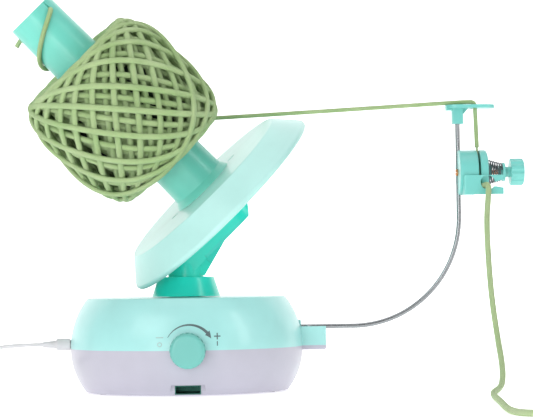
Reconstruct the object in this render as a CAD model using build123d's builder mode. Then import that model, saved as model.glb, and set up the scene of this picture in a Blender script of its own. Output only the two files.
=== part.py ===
"""Electric ball winder: a round motor base, a turret that turns on it, a tilted winding spindle
with its disc and tube, a wound ball of yarn, and a wire arm with a yarn guide and a tensioner.

Millimetres. +Z is up, the front is -Y, and the origin is the centre of the base on the table.
The turret turns about Z, and the spindle turns in it about its own tilted axis.
"""
import os
from math import atan, atan2, cos, degrees, pi, radians, sin, sqrt, tan

from build123d import *

os.makedirs("parts", exist_ok=True)

# ---------------------------------------------------------------- driving dimensions

# base shells: bodies of revolution whose arcs are tangent at the seam
SEAM_R = 75.0
SEAM_Z = 28.8
TOP_Z = 61.0
BOTTOM_Z = 0.8
UPPER_ARC = 52.0
LOWER_ARC = 45.0
SKIN = 2.4
FLOOR_Z = BOTTOM_Z + SKIN
ROOF_Z = TOP_Z - SKIN
SCREW_RING_R = 52.0
FOOT_RING_R = 54.0

# speed knob on the seam at the front
KNOB_R = 11.15
KNOB_DEPTH = 11.5
KNOB_GAP = 0.5
KNOB_FLUTES = 20

# arm block, a boss at the right-hand side
BLOCK_X = 90.0
BLOCK_HALF_Y = 8.0
BLOCK_TOP = 41.0
BLOCK_LIP_Z = 26.0

# wire arm
WIRE_R = 1.5
WIRE_Z = 40.8
WIRE_IN_X = 58.0
WIRE_X = 178.4
WIRE_TOP = 181.0
WIRE_BEND = 70.0

# yarn guide plate
GUIDE_TOP = 183.7
GUIDE_THICK = 2.3
EYE_X = 189.0
EYE_R = 2.6

# tensioner, whose axis runs along X
TENSION_Y = -3.2
TENSION_Z = 139.5
DRUM_R = 14.5
DRUM_X0 = 177.8
DRUM_X1 = 189.8
DISC_X0 = 191.2
DISC_X1 = 196.3
ROD_R = 1.5
TAB_BACK = -18.2
TAB_THICK = 2.2
HOLE_X = 194.9
HOLE_Z = 132.2
HOLE_R = 4.7

# gearing: the turret turns once for 16 motor turns, the spindle once for 16 turret turns
MODULE_LARGE = 1.0
MODULE_MOTOR = 0.8
MODULE_HEAD = 0.6
MODULE_BEVEL = 0.62
TURRET_TEETH = 48
COMPOUND_SMALL = 12
COMPOUND_LARGE = 40
MOTOR_TEETH = 10
SUN_TEETH = 8
BEVEL_TEETH = 32
JACK_TEETH = 9
IDLER_TEETH = 29
SPINDLE_TEETH = 36

# spindle: its axis crosses the turret's axis at CROSS_Z, and s runs along it, up and to the left
CROSS_Z = 144.3
TILT = 45.0
TURN = 11.0
HEAD_FRONT = -36.0
HEAD_BACK = -49.4
HEAD_WALL = 2.0
HEAD_R = 17.0
HEAD_END_X = 38.6
NECK_R = 11.5
NECK_BORE = 9.5
DISH_FRONT = -16.8
DISH_REAR = -35.0
DISH_FRONT_R = 63.0
DISH_REAR_R = 76.2
TUBE_FOOT = -12.2
TUBE_TIP = 140.6
TUBE_FOOT_R = 19.3
TUBE_TIP_R = 16.5
TUBE_WALL = 2.0
SHAFT_R = 4.0

# wound ball of yarn, a rounded barrel about the spindle
BALL_S = 55.2
BALL_HALF_LENGTH = 52.7
BALL_R = 53.0
BALL_POWER = 3.8
YARN_R = 1.5
TAIL_R = 1.9

# power lead
LEAD_Z = 31.5
LEAD_R = 1.2
COIL_X = -172.0
COIL_Y = 22.0
COIL_R = 13.2

# ---------------------------------------------------------------- directions and planes

cos_tilt, sin_tilt = cos(radians(TILT)), sin(radians(TILT))
OUTWARD = Vector(cos(radians(TURN)), sin(radians(TURN)), 0)
SIDEWAYS = Vector(-sin(radians(TURN)), cos(radians(TURN)), 0)
ALONG = OUTWARD * -cos_tilt + Vector(0, 0, sin_tilt)
ACROSS = OUTWARD * sin_tilt + Vector(0, 0, cos_tilt)
CROSS = Vector(0, 0, CROSS_Z)
SPINDLE_AXIS = Axis(CROSS, ALONG)
SPINDLE_SIDE = Plane(origin=CROSS, x_dir=ACROSS, z_dir=SIDEWAYS * -1)
TURRET_SIDE = Plane(origin=(0, 0, 0), x_dir=OUTWARD, z_dir=SIDEWAYS * -1)


def spindle_point(s, u, v):
    """A point s along the spindle, u across it in the turret's upright plane, v sideways."""
    return CROSS + ALONG * s + ACROSS * u + SIDEWAYS * v


def spindle_plane(s, u=0, v=0):
    """The plane square to the spindle at s, with x along ACROSS and y along SIDEWAYS."""
    return Plane(origin=spindle_point(s, u, v), x_dir=ACROSS, z_dir=ALONG)


def tension_plane(x):
    """The plane square to the tensioner's axis, facing +X, with local x along Y and local y up."""
    return Plane(origin=(x, TENSION_Y, TENSION_Z), x_dir=(0, 1, 0), z_dir=(1, 0, 0))


# ---------------------------------------------------------------- shared shapes


def outline(plane, points):
    """A closed polygon on a plane."""
    with BuildSketch(plane) as flat:
        with BuildLine():
            Polyline(*points, close=True)
        make_face()
    return flat.sketch


def block(x, y, z):
    """A box given by its low and high X, Y and Z."""
    with BuildSketch(Plane.XY.offset(z[0])) as flat:
        with Locations(((x[0] + x[1]) / 2, (y[0] + y[1]) / 2)):
            Rectangle(x[1] - x[0], y[1] - y[0])
    return extrude(flat.sketch, amount=z[1] - z[0], mode=Mode.PRIVATE)


def rod(plane, radius, length):
    """A round bar that stands on a plane's origin."""
    with BuildSketch(plane) as flat:
        Circle(radius)
    return extrude(flat.sketch, amount=length, mode=Mode.PRIVATE)


def ring(plane, outer, inner, length):
    """A round tube that stands on a plane's origin."""
    with BuildSketch(plane) as flat:
        Circle(outer)
        Circle(inner, mode=Mode.SUBTRACT)
    return extrude(flat.sketch, amount=length, mode=Mode.PRIVATE)


def upright(x, y, z):
    """A level plane at a point, facing up."""
    return Plane(origin=(x, y, z), x_dir=(1, 0, 0), z_dir=(0, 0, 1))


def polar(radius, angle):
    """A point in plan, from a radius and an angle in degrees."""
    return radius * cos(radians(angle)), radius * sin(radians(angle))


def tooth_points(teeth, module, tooth_angle, reach=0.8, depth=1.15):
    """A gear's outline with straight-sided teeth, one of them centred at tooth_angle."""
    pitch_r = teeth * module / 2
    step = 360 / teeth
    corners = [
        (pitch_r - depth * module, -0.27),
        (pitch_r + reach * module, -0.10),
        (pitch_r + reach * module, 0.10),
        (pitch_r - depth * module, 0.27),
    ]
    return [
        polar(radius, tooth_angle + (tooth + part) * step)
        for tooth in range(teeth)
        for radius, part in corners
    ]


def spur(plane, teeth, module, tooth_angle, width):
    """A spur gear blank with its teeth."""
    flat = outline(plane, tooth_points(teeth, module, tooth_angle))
    return extrude(flat, amount=width, mode=Mode.PRIVATE)


def bevel(plane, teeth, tooth_angle, cone_angle, cone_distance, face_width):
    """A bevel gear: its large end is on the plane, and it narrows along the plane's normal."""
    shrink = (cone_distance - face_width) / cone_distance
    height = face_width * cos(radians(cone_angle))
    large = outline(plane, tooth_points(teeth, MODULE_BEVEL, tooth_angle, 0.4, 0.95))
    small = outline(
        plane.offset(height),
        tooth_points(teeth, MODULE_BEVEL * shrink, tooth_angle, 0.4, 0.95),
    )
    return loft([large.face(), small.face()], ruled=True, mode=Mode.PRIVATE)


def corner_radii(points):
    """For a cord's route: 0.45 of the shorter run over the tangent of half the turn, at each corner."""
    radii = []
    for before, here, after in zip(points, points[1:], points[2:]):
        run_in = Vector(here) - Vector(before)
        run_out = Vector(after) - Vector(here)
        half_turn = radians(run_in.get_angle(run_out)) / 2
        radii.append(0.45 * min(run_in.length, run_out.length) / tan(half_turn))
    return radii


def cord(name, points, radius, radii=None):
    """A cord's tube: straight runs joined by tangent arcs, with its volume checked against its length."""
    radii = radii or corner_radii(points)
    with BuildLine() as route:
        FilletPolyline(*points, radius=radii)
    path = route.wire()
    with BuildSketch(Plane(origin=path @ 0, z_dir=path % 0)) as section:
        Circle(radius)
    tube = sweep(section.sketch, path=path, mode=Mode.PRIVATE)
    share = tube.volume / (pi * radius**2 * path.length)
    print(f"{name}: {path.length:.1f} mm, volume share {share:.4f}, radii {[round(r, 1) for r in radii]}")
    return tube


def screw(plane, head_r, head_h, shank_r, shank_length):
    """A screw whose head stands on the plane and whose shank goes the other way."""
    head = rod(plane, head_r, head_h)
    shank = rod(plane.offset(-shank_length), shank_r, shank_length + head_h / 2)
    recess = rod(plane.offset(head_h * 0.4), head_r * 0.45, head_h)
    return head + shank - recess


def save(part, name):
    """Label a finished piece and write it as its own STEP file."""
    part.label = name
    export_step(part, f"parts/{name}.step")


# ---------------------------------------------------------------- base shells


def shell_profile(arc_r, inset, z_far):
    """Half section of one base shell's solid, from the seam to z_far, drawn inset from the skin."""
    centre_r = SEAM_R - arc_r
    radius = arc_r - inset

    def edge(z):
        return centre_r + sqrt(radius**2 - (z - SEAM_Z) ** 2)

    z_mid = (SEAM_Z + z_far) / 2
    with BuildSketch(Plane.XZ) as half:
        with BuildLine():
            Line((0, SEAM_Z), (edge(SEAM_Z), SEAM_Z))
            ThreePointArc((edge(SEAM_Z), SEAM_Z), (edge(z_mid), z_mid), (edge(z_far), z_far))
            Line((edge(z_far), z_far), (0, z_far))
            Line((0, z_far), (0, SEAM_Z))
        make_face()
    return half.sketch


def shell_solid(arc_r, inset, z_far):
    """One base shell's outer or inner body of revolution."""
    return revolve(shell_profile(arc_r, inset, z_far), axis=Axis.Z, mode=Mode.PRIVATE)


SCREW_ANGLES = [45, 135, 225, 315]
POST_POINTS = [polar(SCREW_RING_R, a) for a in SCREW_ANGLES]
PLATE_POSTS = [(16.0, -14.0), (-20.0, -9.0), (13.0, 32.0), (-37.0, 22.5)]
COMPOUND_AT = polar(30.0, 122.0)
MOTOR_AT = (COMPOUND_AT[0] + 10.0, COMPOUND_AT[1] + 10.0 * sqrt(3))
BUSH_R = 13.5
BOSS_Z = 49.5
HUB_R = 11.0
KNOB_SHAFT_R = 3.0
CLAMP_HALF_X = 7.5
CLAMP_Z = (2.1, 6.5)
CLAMP_WALL = 0.6
CLAMP_FRONT = -66.4
CLAMP_BACK = -38.0
front_plane = Plane(origin=(0, -SEAM_R, SEAM_Z), x_dir=(1, 0, 0), z_dir=(0, -1, 0))
left_plane = Plane(origin=(-SEAM_R, 0, LEAD_Z), x_dir=(0, 1, 0), z_dir=(-1, 0, 0))

with BuildPart() as upper_housing:
    add(shell_solid(UPPER_ARC, 0, TOP_Z))
    fillet(upper_housing.edges().group_by(Axis.Z)[-1], radius=1.8)
    add(block((66, BLOCK_X), (-BLOCK_HALF_Y, BLOCK_HALF_Y), (SEAM_Z, BLOCK_TOP)))
    fillet(upper_housing.faces().sort_by(Axis.X)[-1].edges().filter_by(Axis.Z), radius=1.5)
    add(shell_solid(UPPER_ARC, SKIN, ROOF_Z), mode=Mode.SUBTRACT)
    with Locations([(x, y, 0) for x, y in POST_POINTS]):
        add(rod(upright(0, 0, SEAM_Z - 0.2), 3.6, ROOF_Z - SEAM_Z + 1))
    add(rod(upright(0, 0, BOSS_Z), 16.5, ROOF_Z - BOSS_Z + 0.5))
    add(rod(Plane.YZ.offset(WIRE_IN_X).shift_origin((WIRE_IN_X, 0, WIRE_Z)), 4.5, 16))
    with Locations([(x, y, 0) for x, y in POST_POINTS]):
        add(rod(upright(0, 0, SEAM_Z - 1), 1.45, 11), mode=Mode.SUBTRACT)
    add(rod(upright(0, 0, 40), BUSH_R, 30), mode=Mode.SUBTRACT)
    wire_start = Plane(origin=(WIRE_IN_X - 1, 0, WIRE_Z), z_dir=(1, 0, 0))
    add(rod(wire_start, WIRE_R, 40), mode=Mode.SUBTRACT)
    add(block((BLOCK_X - 15.4, BLOCK_X + 1), (-WIRE_R, WIRE_R), (WIRE_Z, BLOCK_TOP + 1)), mode=Mode.SUBTRACT)
    add(rod(front_plane.offset(-6), 4.2, 8), mode=Mode.SUBTRACT)
    add(rod(left_plane.offset(-6), 4.3, 8), mode=Mode.SUBTRACT)
    for side in (-1, 1):
        add(rod(upright(78.8, side * 4.6, BLOCK_TOP - 8), 0.9, 9), mode=Mode.SUBTRACT)
save(upper_housing.part, "upper_housing")

with BuildPart() as lower_housing:
    add(shell_solid(LOWER_ARC, 0, BOTTOM_Z))
    fillet(lower_housing.edges().group_by(Axis.Z)[0], radius=1.2)
    add(block((64, BLOCK_X), (-BLOCK_HALF_Y, BLOCK_HALF_Y), (BLOCK_LIP_Z, SEAM_Z)))
    fillet(lower_housing.faces().sort_by(Axis.X)[-1].edges().filter_by(Axis.Z), radius=1.5)
    fillet(lower_housing.faces().sort_by(Axis.X)[-1].edges().group_by(Axis.Z)[0], radius=1.4)
    add(shell_solid(LOWER_ARC, SKIN, FLOOR_Z), mode=Mode.SUBTRACT)
    add(ring(upright(0, 0, SEAM_Z - 8), SEAM_R - SKIN - 0.2, SEAM_R - SKIN - 1.5, 10))
    with Locations([(x, y, 0) for x, y in POST_POINTS]):
        add(rod(upright(0, 0, FLOOR_Z - 1), 4.8, SEAM_Z - 0.4 - FLOOR_Z + 1))
    with Locations([(x, y, 0) for x, y in PLATE_POSTS]):
        add(rod(upright(0, 0, FLOOR_Z - 1), 3.4, 37 - FLOOR_Z))
    pocket = block((-11.5, 11.5), (-SEAM_R, CLAMP_BACK + 1.5), (FLOOR_Z - 1, 9.5))
    add(pocket & shell_solid(LOWER_ARC, 1, BOTTOM_Z))
    with Locations([(x, y, 0) for x, y in POST_POINTS]):
        add(rod(upright(0, 0, BOTTOM_Z - 1), 3.2, 14.2), mode=Mode.SUBTRACT)
        add(rod(upright(0, 0, BOTTOM_Z), 1.55, 40), mode=Mode.SUBTRACT)
    with Locations([(x, y, 0) for x, y in PLATE_POSTS]):
        add(rod(upright(0, 0, 24), 1.2, 20), mode=Mode.SUBTRACT)
    with Locations([(x, y, 0) for x, y in [polar(FOOT_RING_R, a) for a in (22, 158, 202, 338)]]):
        add(rod(upright(0, 0, BOTTOM_Z - 1), 6.05, 2.0), mode=Mode.SUBTRACT)
    recess = outline(Plane.XZ.offset(-CLAMP_FRONT), [(-11.5, 0), (-10.4, 7.5), (10.4, 7.5), (11.5, 0)])
    add(extrude(recess, amount=12, mode=Mode.PRIVATE), mode=Mode.SUBTRACT)
    add(
        block(
            (-CLAMP_HALF_X - CLAMP_WALL, CLAMP_HALF_X + CLAMP_WALL),
            (CLAMP_FRONT - 1, CLAMP_BACK),
            (CLAMP_Z[0] - CLAMP_WALL, CLAMP_Z[1] + CLAMP_WALL),
        ),
        mode=Mode.SUBTRACT,
    )
    add(rod(front_plane.offset(-6), 4.2, 8), mode=Mode.SUBTRACT)
    add(rod(left_plane.offset(-6), 4.3, 8), mode=Mode.SUBTRACT)
save(lower_housing.part, "lower_housing")

with BuildPart() as rubber_feet:
    for angle in (22, 158, 202, 338):
        x, y = polar(FOOT_RING_R, angle)
        add(rod(upright(x, y, 0), 6.0, 1.8))
    chamfer(rubber_feet.edges().group_by(Axis.Z)[0], length=0.3)
save(rubber_feet.part, "rubber_feet")

with BuildPart() as housing_screws:
    for x, y in POST_POINTS:
        add(screw(Plane(origin=(x, y, 14.0), z_dir=(0, 0, -1)), 2.8, 1.8, 1.4, 22))
save(housing_screws.part, "housing_screws")

with BuildPart() as clamp_socket:
    low, high = CLAMP_Z
    outer = block(
        (-CLAMP_HALF_X - CLAMP_WALL, CLAMP_HALF_X + CLAMP_WALL),
        (CLAMP_FRONT + 0.2, CLAMP_BACK),
        (low - CLAMP_WALL, high + CLAMP_WALL),
    )
    add(outer)
    add(block((-CLAMP_HALF_X, CLAMP_HALF_X), (CLAMP_FRONT - 1, CLAMP_BACK - 0.8), (low, high)), mode=Mode.SUBTRACT)
save(clamp_socket.part, "clamp_socket")

# ---------------------------------------------------------------- drive in the base

PLATE_Z = 36.0
PLATE_THICK = 2.0
BUSH_LOW_Z = 31.0
HUB_BOTTOM = 30.4
TURRET_BOTTOM = 61.5
COMPOUND_Z = 39.2
SMALL_Z = 43.4
TURRET_GEAR_Z = 44.0

with BuildPart() as gear_plate:
    with BuildSketch(Plane.XY.offset(PLATE_Z)):
        with Locations((0, 0)):
            Circle(18)
        with Locations(COMPOUND_AT):
            Circle(9)
        with Locations(MOTOR_AT):
            Circle(14)
        with Locations(PLATE_POSTS):
            Circle(5)
        make_hull()
    extrude(amount=PLATE_THICK)
    add(rod(upright(0, 0, BUSH_LOW_Z), 16.5, PLATE_Z - BUSH_LOW_Z + 1))
    add(rod(upright(0, 0, BUSH_LOW_Z - 1), BUSH_R, 12), mode=Mode.SUBTRACT)
    add(rod(upright(*MOTOR_AT, PLATE_Z - 1), 3.2, 5), mode=Mode.SUBTRACT)
    add(rod(upright(*COMPOUND_AT, PLATE_Z - 1), 1.5, 5), mode=Mode.SUBTRACT)
    with Locations([(x, y, 0) for x, y in PLATE_POSTS]):
        add(rod(upright(0, 0, PLATE_Z - 1), 1.6, 5), mode=Mode.SUBTRACT)
    for side in (-8.0, 8.0):
        add(rod(upright(MOTOR_AT[0] + side, MOTOR_AT[1], PLATE_Z - 1), 1.3, 5), mode=Mode.SUBTRACT)
save(gear_plate.part, "gear_plate")

with BuildPart() as gear_plate_screws:
    for x, y in PLATE_POSTS:
        add(screw(upright(x, y, PLATE_Z + PLATE_THICK), 2.6, 1.5, 1.15, 9))
save(gear_plate_screws.part, "gear_plate_screws")

with BuildPart() as lower_bush:
    add(ring(upright(0, 0, BUSH_LOW_Z), BUSH_R, HUB_R + 0.05, PLATE_Z + PLATE_THICK - BUSH_LOW_Z))
    add(ring(upright(0, 0, BUSH_LOW_Z - 1.2), 15.5, HUB_R + 0.05, 1.2))
save(lower_bush.part, "lower_bush")

with BuildPart() as upper_bush:
    add(ring(upright(0, 0, BOSS_Z), BUSH_R, HUB_R + 0.05, TOP_Z - BOSS_Z))
save(upper_bush.part, "upper_bush")

with BuildPart() as motor:
    can = rod(upright(*MOTOR_AT, 8.0), 12.0, PLATE_Z - 8.0)
    flats = block((MOTOR_AT[0] - 15, MOTOR_AT[0] + 15), (MOTOR_AT[1] - 9.6, MOTOR_AT[1] + 9.6), (0, 50))
    add(can & flats)
    fillet(motor.edges().group_by(Axis.Z)[0], radius=1.0)
    add(rod(upright(*MOTOR_AT, PLATE_Z), 3.15, 1.4))
    add(rod(upright(*MOTOR_AT, 6.4), 3.5, 2))
    for side in (-6.0, 6.0):
        tag_x = MOTOR_AT[0] + side
        add(block((tag_x - 1.2, tag_x + 1.2), (MOTOR_AT[1] - 0.3, MOTOR_AT[1] + 0.3), (4.4, 9)))
    add(rod(upright(*MOTOR_AT, 30.0), 1.05, 10), mode=Mode.SUBTRACT)
save(motor.part, "motor")

with BuildPart() as motor_screws:
    for side in (-8.0, 8.0):
        add(screw(upright(MOTOR_AT[0] + side, MOTOR_AT[1], PLATE_Z + PLATE_THICK), 2.2, 0.9, 1.25, 2.0))
save(motor_screws.part, "motor_screws")

motor_to_compound = degrees(atan2(COMPOUND_AT[1] - MOTOR_AT[1], COMPOUND_AT[0] - MOTOR_AT[0]))
compound_to_turret = degrees(atan2(-COMPOUND_AT[1], -COMPOUND_AT[0]))

with BuildPart() as motor_pinion:
    add(spur(upright(*MOTOR_AT, COMPOUND_Z - 0.2), MOTOR_TEETH, MODULE_MOTOR, motor_to_compound, 4.6))
    add(rod(upright(*MOTOR_AT, 30.5), 1.0, 16))
save(motor_pinion.part, "motor_pinion")

with BuildPart() as compound_gear:
    half_gap = 180 / COMPOUND_LARGE
    first_tooth = motor_to_compound + 180 + half_gap
    add(spur(upright(*COMPOUND_AT, COMPOUND_Z), COMPOUND_LARGE, MODULE_MOTOR, first_tooth, 4.0))
    add(rod(upright(*COMPOUND_AT, SMALL_Z - 0.3), 4.4, 1.0))
    add(spur(upright(*COMPOUND_AT, SMALL_Z), COMPOUND_SMALL, MODULE_LARGE, compound_to_turret, 5.0))
    add(rod(upright(*COMPOUND_AT, COMPOUND_Z - 1), 1.55, 20), mode=Mode.SUBTRACT)
save(compound_gear.part, "compound_gear")

with BuildPart() as compound_axle:
    add(rod(upright(*COMPOUND_AT, PLATE_Z - 0.6), 1.5, SMALL_Z + 6.4 - PLATE_Z))
    add(rod(upright(*COMPOUND_AT, SMALL_Z + 5.3), 3.0, 0.6))
save(compound_axle.part, "compound_axle")

with BuildPart() as turret_gear:
    half_gap = 180 / TURRET_TEETH
    first_tooth = compound_to_turret + 180 + half_gap
    add(spur(upright(0, 0, TURRET_GEAR_Z), TURRET_TEETH, MODULE_LARGE, first_tooth, 4.0))
    add(ring(upright(0, 0, TURRET_GEAR_Z - 3.0), 12.8, HUB_R, 3.5))
    add(rod(upright(0, 0, TURRET_GEAR_Z - 4), HUB_R, 12), mode=Mode.SUBTRACT)
    with PolarLocations(18, 6):
        add(rod(upright(0, 0, TURRET_GEAR_Z - 1), 2.4, 8), mode=Mode.SUBTRACT)
save(turret_gear.part, "turret_gear")

# the fixed post carries the sun bevel that the turret's gearing rolls around
HEAD_APEX_Z = 100.75
HEAD_APEX_S = (HEAD_APEX_Z - CROSS_Z) * sin_tilt
JACK_U = HEAD_APEX_S
sun_cone = degrees(atan(sin_tilt / (BEVEL_TEETH / SUN_TEETH + cos_tilt)))
jack_cone = TILT - sun_cone
cone_distance = SUN_TEETH * MODULE_BEVEL / 2 / sin(radians(sun_cone))
BEVEL_FACE = 3.5
SUN_Z = HEAD_APEX_Z - cone_distance * cos(radians(sun_cone))
JACK_S = HEAD_APEX_S - cone_distance * cos(radians(jack_cone))

with BuildPart() as sun_post:
    add(bevel(upright(0, 0, SUN_Z), SUN_TEETH, TURN, sun_cone, cone_distance, BEVEL_FACE))
    add(rod(upright(0, 0, SUN_Z - 1.6), 2.6, 1.6))
    add(rod(upright(0, 0, FLOOR_Z), 2.0, SUN_Z - FLOOR_Z - 0.8))
    add(rod(upright(0, 0, FLOOR_Z), 3.0, 62))
    add(rod(upright(0, 0, FLOOR_Z), 10.0, 2.4))
    with PolarLocations(7.0, 3):
        add(rod(upright(0, 0, FLOOR_Z - 1), 1.2, 6), mode=Mode.SUBTRACT)
save(sun_post.part, "sun_post")

# ---------------------------------------------------------------- electrics in the base

with BuildPart() as speed_potentiometer:
    add(rod(Plane(origin=(0, -69.0, SEAM_Z), z_dir=(0, 1, 0)), 8.0, 9.0))
    add(rod(Plane(origin=(0, -73.5, SEAM_Z), z_dir=(0, 1, 0)), 4.1, 6.0))
    add(rod(Plane(origin=(0, -80.0, SEAM_Z), z_dir=(0, 1, 0)), KNOB_SHAFT_R + 0.05, 15), mode=Mode.SUBTRACT)
    for side in (-5.0, 0.0, 5.0):
        add(block((side - 0.6, side + 0.6), (-64.2, -63.4), (SEAM_Z - 13, SEAM_Z - 6)))
save(speed_potentiometer.part, "speed_potentiometer")

with BuildPart() as knob_shaft:
    add(rod(Plane(origin=(0, -66.0, SEAM_Z), z_dir=(0, -1, 0)), KNOB_SHAFT_R, 18.0))
    add(block((-4, 4), (-90, -76), (SEAM_Z + 1.6, SEAM_Z + 5)), mode=Mode.SUBTRACT)
save(knob_shaft.part, "knob_shaft")

knob_back = front_plane.offset(KNOB_GAP)
with BuildPart() as speed_knob:
    with BuildSketch(knob_back):
        Circle(KNOB_R)
    extrude(amount=KNOB_DEPTH, taper=1.5)
    fillet(speed_knob.edges().sort_by(Axis.Y)[0], radius=2.4)
    with BuildSketch(knob_back.offset(3.4)):
        with PolarLocations(KNOB_R + 0.9, KNOB_FLUTES):
            Circle(1.6)
    extrude(amount=KNOB_DEPTH, mode=Mode.SUBTRACT)
    with BuildSketch(knob_back):
        Circle(KNOB_R - 1.8)
        Circle(5.0, mode=Mode.SUBTRACT)
    extrude(amount=KNOB_DEPTH - 3.0, mode=Mode.SUBTRACT)
    bore = rod(Plane(origin=(0, -SEAM_R, SEAM_Z), z_dir=(0, -1, 0)), KNOB_SHAFT_R, 9.0)
    add(bore - block((-4, 4), (-90, -76), (SEAM_Z + 1.6, SEAM_Z + 5)), mode=Mode.SUBTRACT)
save(speed_knob.part, "speed_knob")

BOARD_Z = 9.0
with BuildPart() as circuit_board:
    add(block((-57, -25), (-26, 18), (BOARD_Z, BOARD_Z + 1.6)))
    with Locations((-54, -23, 0), (-54, 15, 0), (-28, -23, 0), (-28, 15, 0)):
        add(rod(upright(0, 0, BOARD_Z - 1), 1.6, 4), mode=Mode.SUBTRACT)
save(circuit_board.part, "circuit_board")

with BuildPart() as board_supports:
    for x, y in [(-54, -23), (-54, 15), (-28, -23), (-28, 15)]:
        add(rod(upright(x, y, FLOOR_Z), 2.8, BOARD_Z - FLOOR_Z))
        add(rod(upright(x, y, BOARD_Z - 1), 1.5, 2.6))
        add(rod(upright(x, y, BOARD_Z + 1.6), 2.4, 1.0))
save(board_supports.part, "board_supports")

with BuildPart() as board_components:
    top = BOARD_Z + 1.6
    add(block((-50, -40), (-14, -4), (top, top + 2.0)))
    add(block((-36, -30), (-10, -6), (top, top + 1.4)))
    for y in (2.0, 9.0):
        add(rod(upright(-46, y, top), 2.9, 9.0))
    add(rod(upright(-35, 4, top), 3.6, 7.0))
    add(block((-49, -37), (-22, -17.5), (top, top + 5.5)))
save(board_components.part, "board_components")

with BuildPart() as power_socket:
    add(block((-70.2, -57), (-5.5, 5.5), (LEAD_Z - 5.5, LEAD_Z + 5.5)))
    add(rod(Plane(origin=(-73.6, 0, LEAD_Z), z_dir=(1, 0, 0)), 4.1, 4))
    add(rod(Plane(origin=(-75, 0, LEAD_Z), z_dir=(1, 0, 0)), 2.8, 13), mode=Mode.SUBTRACT)
    add(rod(Plane(origin=(-70, 0, LEAD_Z), z_dir=(1, 0, 0)), 1.0, 11))
save(power_socket.part, "power_socket")

# ---------------------------------------------------------------- turret

hub_flange_r = 16.6
HUB_SCREW_R = 13.6
with BuildPart() as turret_hub:
    add(rod(upright(0, 0, HUB_BOTTOM), HUB_R, TURRET_BOTTOM + 0.5 - HUB_BOTTOM))
    add(rod(upright(0, 0, TURRET_BOTTOM + 0.3), hub_flange_r, 3.2))
    add(rod(upright(0, 0, HUB_BOTTOM - 1), 4.0, 50), mode=Mode.SUBTRACT)
    with PolarLocations(HUB_SCREW_R, 3, start_angle=TURN):
        add(rod(upright(0, 0, TURRET_BOTTOM - 1), 1.3, 12), mode=Mode.SUBTRACT)
save(turret_hub.part, "turret_hub")

with BuildPart() as hub_screws:
    for step in range(3):
        x, y = polar(HUB_SCREW_R, TURN + 120 * step)
        add(screw(Plane(origin=(x, y, TURRET_BOTTOM + 0.3), z_dir=(0, 0, -1)), 2.0, 0.25, 1.2, 9.0))
save(hub_screws.part, "hub_screws")


def head_plan(inset, s, length):
    """The tilted head's slab: a hull of the neck and the spindle boss, square to the spindle."""
    neck_u = -42.6
    with BuildSketch(spindle_plane(s)) as flat:
        Circle(HEAD_R - inset)
        with Locations((neck_u, 0)):
            Circle(NECK_R - inset)
        make_hull()
    return extrude(flat.sketch, amount=length, mode=Mode.PRIVATE)


def half_space(s0, s1, u0, u1):
    """A thick slab between two s and two u values, used to trim the head."""
    with BuildSketch(spindle_plane(s0, (u0 + u1) / 2)) as flat:
        Rectangle(u1 - u0, 80)
    return extrude(flat.sketch, amount=s1 - s0, mode=Mode.PRIVATE)


def beyond_end(x):
    """Everything past the head's upright end face, x out from the turret's axis."""
    with BuildSketch(Plane(origin=OUTWARD * x + Vector(0, 0, 120), x_dir=SIDEWAYS, z_dir=OUTWARD)) as flat:
        Rectangle(80, 80)
    return extrude(flat.sketch, amount=40, mode=Mode.PRIVATE)


def head_rib(u0, u1):
    """The stretch of the rib under the head whose u lies between two values."""
    side = outline(TURRET_SIDE, [(4, 75), (10.8, 75), (24.9, 98.4), (30, 105), (16, 100), (4, 90)])
    return extrude(side, amount=8, both=True, mode=Mode.PRIVATE) & half_space(-100, HEAD_BACK + 0.01, u0, u1)


COVER_U = -33.2
END_WALL = 1.0
jack_reach = (JACK_TEETH + IDLER_TEETH) * MODULE_HEAD / 2
spindle_reach = (SPINDLE_TEETH + IDLER_TEETH) * MODULE_HEAD / 2
IDLER_U = -(JACK_U**2 + spindle_reach**2 - jack_reach**2) / (-2 * JACK_U)
IDLER_V = sqrt(spindle_reach**2 - IDLER_U**2)
GEAR_S = -40.6
GEAR_WIDTH = 2.4
COVER_SCREWS = [(-1.0, 13.8), (-1.0, -13.8), (-15.0, 12.6), (-15.0, -12.6)]
neck_top = rod(upright(0, 0, 60), NECK_R, 60) & half_space(-90, HEAD_FRONT, -80, 10)
neck_bore = rod(upright(0, 0, 60), NECK_BORE, 60) & half_space(-90, HEAD_FRONT - HEAD_WALL, -80, 10)

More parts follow.
